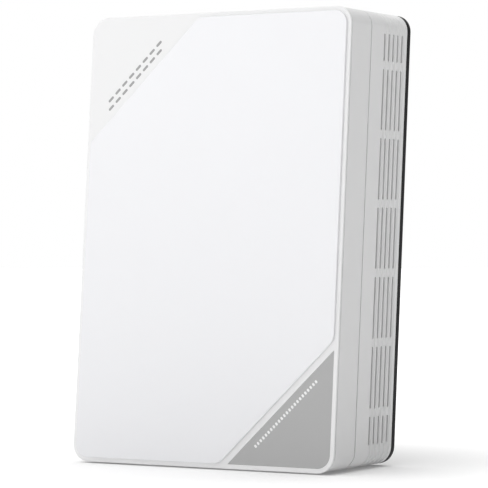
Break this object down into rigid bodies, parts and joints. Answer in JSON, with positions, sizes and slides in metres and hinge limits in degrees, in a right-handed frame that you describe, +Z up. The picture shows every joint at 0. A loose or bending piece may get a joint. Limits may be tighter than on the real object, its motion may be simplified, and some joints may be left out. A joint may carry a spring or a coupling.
{
  "type": "desktop wireless router",
  "caption": "White slab-shaped home router that leans back, with a gloss front panel cut at two corners, slotted sides and a black port cover behind.",
  "frame": {"origin": "on the surface it stands on, under the middle of its bounding box", "axes": "+Z up; the front panel faces -Y and leans back by 4.9 degrees; +X is the right side seen from the front"},
  "size_m": [0.1334, 0.0744, 0.2006],
  "materials": {
    "white_shell": "fine satin moulded plastic",
    "gloss_panel": "polished, piano finish",
    "grey_badge": "satin, smooth",
    "dark_cover": "fine spark-eroded texture",
    "dark_door": "fine spark-eroded texture",
    "button": "satin",
    "white_plunger": "as moulded",
    "switch_body": "as moulded",
    "foot_rubber": "matte",
    "circuit_board": "solder mask over glass laminate",
    "tinned_steel": "tinned sheet",
    "screw_steel": "zinc plated",
    "heatsink_aluminium": "extruded",
    "chip_package": "moulded epoxy",
    "thermal_pad": "soft silicone",
    "jack_plastic": "semi-gloss moulding",
    "gold_contact": "gold flash",
    "clear_guide": "clear acrylic",
    "inner_plastic": "as moulded",
    "lead_jacket": "smooth jacket",
    "aerial_board": "white laminate with printed copper"
  },
  "bodies": {
    "casing": {"aerial_frame": "inner_plastic", "aerial_socket_board": "circuit_board", "aerial_socket_left": "gold_contact", "aerial_socket_right": "gold_contact", "board_screw_high_left": "screw_steel", "board_screw_high_right": "screw_steel", "board_screw_low_left": "screw_steel", "board_screw_low_right": "screw_steel", "case_screw_high_left": "screw_steel", "case_screw_high_right": "screw_steel", "case_screw_low_left": "screw_steel", "case_screw_low_right": "screw_steel", "cell_aerial_lower_left": "aerial_board", "cell_aerial_lower_right": "aerial_board", "cell_aerial_upper_left": "aerial_board", "cell_aerial_upper_right": "aerial_board", "cell_lead_lower_left": "lead_jacket", "cell_lead_lower_right": "lead_jacket", "cell_lead_upper_left": "lead_jacket", "cell_lead_upper_right": "lead_jacket", "corner_badge": "grey_badge", "dc_inlet": "jack_plastic", "dc_inlet_pin": "gold_contact", "foot_front_left": "foot_rubber", "foot_front_right": "foot_rubber", "foot_rear_left": "foot_rubber", "foot_rear_right": "foot_rubber", "front_frame": "white_shell", "front_housing": "white_shell", "front_panel": "gloss_panel", "heatsink": "heatsink_aluminium", "lan_contacts_1": "gold_contact", "lan_contacts_2": "gold_contact", "lan_contacts_3": "gold_contact", "lan_jack_1": "jack_plastic", "lan_jack_2": "jack_plastic", "lan_jack_3": "jack_plastic", "main_board": "circuit_board", "main_processor": "chip_package", "modem_shield": "tinned_steel", "pairing_switch": "switch_body", "power_switch": "switch_body", "radio_shield": "tinned_steel", "rear_cover": "dark_cover", "rear_housing": "white_shell", "reset_switch": "switch_body", "sim_board": "circuit_board", "sim_reader": "tinned_steel", "status_light_guide": "clear_guide", "thermal_pad": "thermal_pad", "wifi_aerial_left": "aerial_board", "wifi_aerial_right": "aerial_board", "wifi_lead_left": "lead_jacket", "wifi_lead_right": "lead_jacket"},
    "power_button": {"power_button": "button"},
    "pairing_button": {"pairing_button": "button"},
    "reset_plunger": {"reset_plunger": "white_plunger"},
    "sim_door": {"sim_door": "dark_door"},
    "aerial_door": {"aerial_door": "dark_door"}
  },
  "joints": [
    {"name": "power_press", "type": "slide", "parent": "casing", "child": "power_button", "axis": [0, -0.9963, 0.0854], "range_m": [0, 0.0012], "stiffness_N_per_m": 500, "springref_m": -0.001},
    {"name": "pairing_press", "type": "slide", "parent": "casing", "child": "pairing_button", "axis": [0, -0.9963, 0.0854], "range_m": [0, 0.0006], "stiffness_N_per_m": 800, "springref_m": -0.0005},
    {"name": "reset_press", "type": "slide", "parent": "casing", "child": "reset_plunger", "axis": [0, -0.9963, 0.0854], "range_m": [0, 0.0005], "stiffness_N_per_m": 800, "springref_m": -0.0005},
    {"name": "sim_door_hinge", "type": "hinge", "parent": "casing", "child": "sim_door", "pos_m": [0, 0.02322, 0.0449], "axis": [-1, 0, 0], "range_deg": [0, 100]},
    {"name": "aerial_door_hinge", "type": "hinge", "parent": "casing", "child": "aerial_door", "pos_m": [0, 0.03364, 0.16646], "axis": [-1, 0, 0], "range_deg": [0, 100]}
  ]
}
